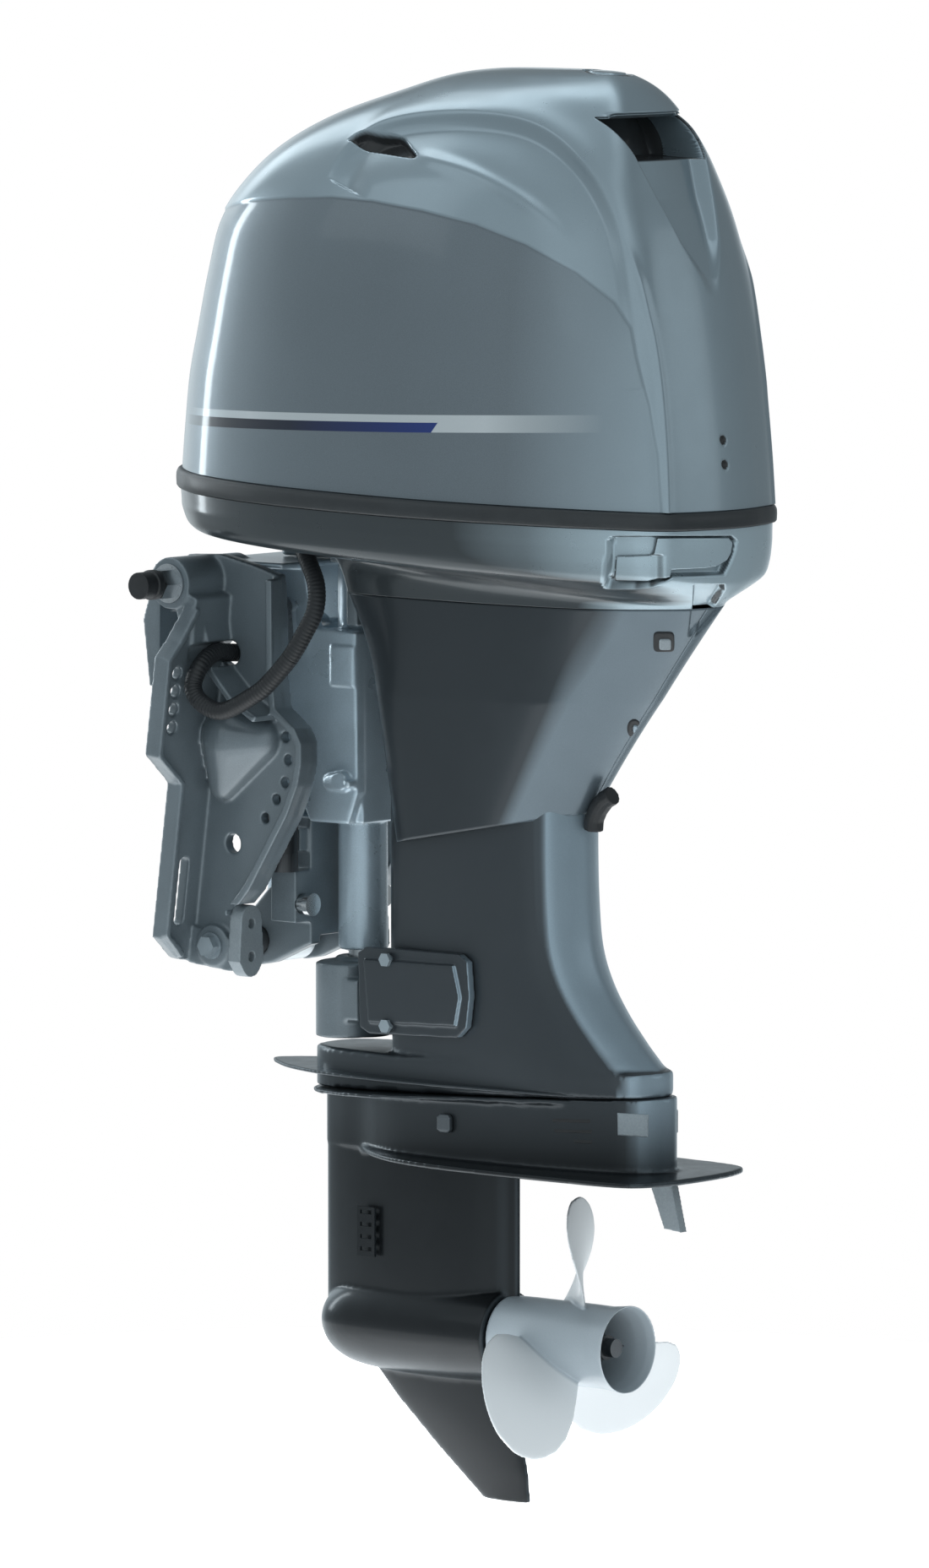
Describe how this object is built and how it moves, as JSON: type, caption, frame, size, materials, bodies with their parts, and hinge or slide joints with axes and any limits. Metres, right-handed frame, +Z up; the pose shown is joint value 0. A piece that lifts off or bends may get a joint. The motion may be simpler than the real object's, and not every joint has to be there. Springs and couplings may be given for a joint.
{
  "type": "outboard motor",
  "caption": "Long-shaft outboard motor with power trim and tilt: cowled power head on a leg with gearcase and propeller, held by a steering swivel and transom bracket.",
  "frame": {"origin": "middle of the tilt tube, on the axis the motor tilts about", "axes": "+X aft, +Y starboard along the tilt tube, +Z up along the leg"},
  "size_m": [0.6445, 0.393, 1.384],
  "materials": {
    "cowl_paint": "metallic gloss",
    "apron_paint": "metallic gloss",
    "leg_paint": "metallic gloss",
    "bracket_paint": "satin",
    "propeller_paint": "satin",
    "stainless": "satin",
    "chromed_rod": "gloss",
    "black_coated_steel": "satin",
    "gear_steel": "satin",
    "cast_engine": "matte",
    "cast_iron": "matte",
    "anode_zinc": "matte",
    "brass": "satin",
    "black_rubber": "matte",
    "seal_rubber": "satin",
    "pump_rubber": "matte",
    "black_plastic": "matte",
    "bush_plastic": "matte"
  },
  "bodies": {
    "clamp": {"port_clamp_bracket": "bracket_paint", "starboard_clamp_bracket": "bracket_paint", "tilt_tube": "stainless", "tilt_tube_nuts": "stainless", "tilt_tube_cap": "black_rubber", "lower_tie_tube": "black_coated_steel", "tie_bolt": "stainless", "bracket_anodes": "anode_zinc", "trim_unit_housing": "bracket_paint", "trim_motor": "black_coated_steel"},
    "rams": {"trim_rams": "chromed_rod"},
    "tilt_cylinder": {"tilt_cylinder": "black_coated_steel"},
    "tilt_rod": {"tilt_rod": "chromed_rod"},
    "swivel": {"swivel_bracket": "bracket_paint", "swivel_bushes": "bush_plastic", "harness_lower": "black_rubber"},
    "support_lever": {"tilt_support_lever": "stainless"},
    "motor": {"steering_shaft": "stainless", "steering_bracket": "bracket_paint", "rubber_mounts": "black_rubber", "lower_yoke": "bracket_paint", "lower_mount_covers": "leg_paint", "cover_bolts": "stainless", "exhaust_guide": "cast_engine", "oil_pan": "cast_engine", "upper_case": "leg_paint", "apron_port": "apron_paint", "apron_starboard": "apron_paint", "exhaust_outlet": "black_rubber", "apron_plugs": "black_rubber", "splash_plate": "leg_paint", "lower_case": "leg_paint", "water_inlet_screens": "black_plastic", "trim_tab": "anode_zinc", "gearcase_anode": "anode_zinc", "water_pump_housing": "black_plastic", "bearing_carrier": "cast_engine", "bottom_cowl": "cowl_paint", "cowl_seal": "seal_rubber", "cylinder_block": "cast_engine", "cylinder_head": "cast_engine", "intake_manifold": "black_plastic", "starter_motor": "black_coated_steel", "harness_upper": "black_rubber"},
    "top_cowl": {"top_cowl": "cowl_paint"},
    "latch": {"cowl_latch": "cowl_paint"},
    "crank": {"crankshaft": "gear_steel", "flywheel": "cast_iron", "driveshaft": "stainless", "pinion_gear": "gear_steel", "water_pump_impeller": "pump_rubber"},
    "camshaft": {"camshaft": "gear_steel"},
    "throttle": {"throttle_shaft": "brass"},
    "forward_gear": {"forward_gear": "gear_steel"},
    "reverse_gear": {"reverse_gear": "gear_steel"},
    "shift_rod": {"shift_rod": "stainless"},
    "prop": {"propeller_shaft": "stainless", "propeller": "propeller_paint", "propeller_nut": "stainless"},
    "clutch": {"clutch_dog": "gear_steel"}
  },
  "joints": [
    {"name": "tilt", "type": "hinge", "parent": "clamp", "child": "swivel", "pos_m": [0, 0, 0], "axis": [0, -1, 0], "range_deg": [0, 65], "deforming": ["harness_lower"]},
    {"name": "steer", "type": "hinge", "parent": "swivel", "child": "motor", "pos_m": [0.115, 0, 0], "axis": [0, 0, 1], "range_deg": [-35, 35], "deforming": ["harness_upper"]},
    {"name": "tilt_cylinder_swing", "type": "hinge", "parent": "clamp", "child": "tilt_cylinder", "pos_m": [0.015, 0, -0.353], "axis": [0, 1, 0], "range_deg": [0, 2]},
    {"name": "tilt_rod_slide", "type": "slide", "parent": "tilt_cylinder", "child": "tilt_rod", "axis": [0.1204, 0, 0.9927], "range_m": [0, 0.08]},
    {"name": "trim_ram_slide", "type": "slide", "parent": "clamp", "child": "rams", "axis": [1, 0, 0], "range_m": [0, 0.03]},
    {"name": "support_lever_swing", "type": "hinge", "parent": "swivel", "child": "support_lever", "pos_m": [0.073, -0.06, -0.024], "axis": [0, 1, 0], "range_deg": [0, 60]},
    {"name": "cowl_lift", "type": "slide", "parent": "motor", "child": "top_cowl", "axis": [0, 0, 1], "range_m": [0, 0.32]},
    {"name": "latch_swing", "type": "hinge", "parent": "motor", "child": "latch", "pos_m": [0.569, 0.016, 0.04], "axis": [0, 0, 1], "range_deg": [0, 50]},
    {"name": "crank_spin", "type": "hinge", "parent": "motor", "child": "crank", "pos_m": [0.235, 0, 0], "axis": [0, 0, 1], "continuous": true},
    {"name": "camshaft_spin", "type": "hinge", "parent": "motor", "child": "camshaft", "pos_m": [0.452, 0.028, 0.2], "axis": [0, 0, 1], "continuous": true},
    {"name": "forward_gear_spin", "type": "hinge", "parent": "motor", "child": "forward_gear", "pos_m": [0.2, 0, -0.719], "axis": [1, 0, 0], "continuous": true},
    {"name": "reverse_gear_spin", "type": "hinge", "parent": "motor", "child": "reverse_gear", "pos_m": [0.27, 0, -0.719], "axis": [1, 0, 0], "continuous": true},
    {"name": "propeller_spin", "type": "hinge", "parent": "motor", "child": "prop", "pos_m": [0.3, 0, -0.719], "axis": [1, 0, 0], "continuous": true},
    {"name": "throttle_turn", "type": "hinge", "parent": "motor", "child": "throttle", "pos_m": [0.176, -0.118, 0.29], "axis": [0, 0, 1], "range_deg": [0, 80], "stiffness_Nm_per_rad": 0.02},
    {"name": "shift_turn", "type": "hinge", "parent": "motor", "child": "shift_rod", "pos_m": [0.12, 0, -0.5], "axis": [0, 0, 1], "range_deg": [-30, 30]},
    {"name": "clutch_slide", "type": "slide", "parent": "prop", "child": "clutch", "axis": [1, 0, 0], "range_m": [-0.003, 0.003]}
  ],
  "couplings": [
    {"joint": "tilt_cylinder_swing", "follows": "tilt", "ratio": 0.02923},
    {"joint": "tilt_rod_slide", "follows": "tilt", "m_per_rad": 0.06694},
    {"joint": "trim_ram_slide", "follows": "tilt", "m_per_rad": 0.02556},
    {"joint": "camshaft_spin", "follows": "crank_spin", "ratio": 0.5},
    {"joint": "forward_gear_spin", "follows": "crank_spin", "ratio": -0.54167},
    {"joint": "reverse_gear_spin", "follows": "crank_spin", "ratio": 0.54167},
    {"joint": "propeller_spin", "follows": "crank_spin", "ratio": -0.54167},
    {"joint": "clutch_slide", "follows": "shift_turn", "m_per_rad": 0.005348}
  ]
}
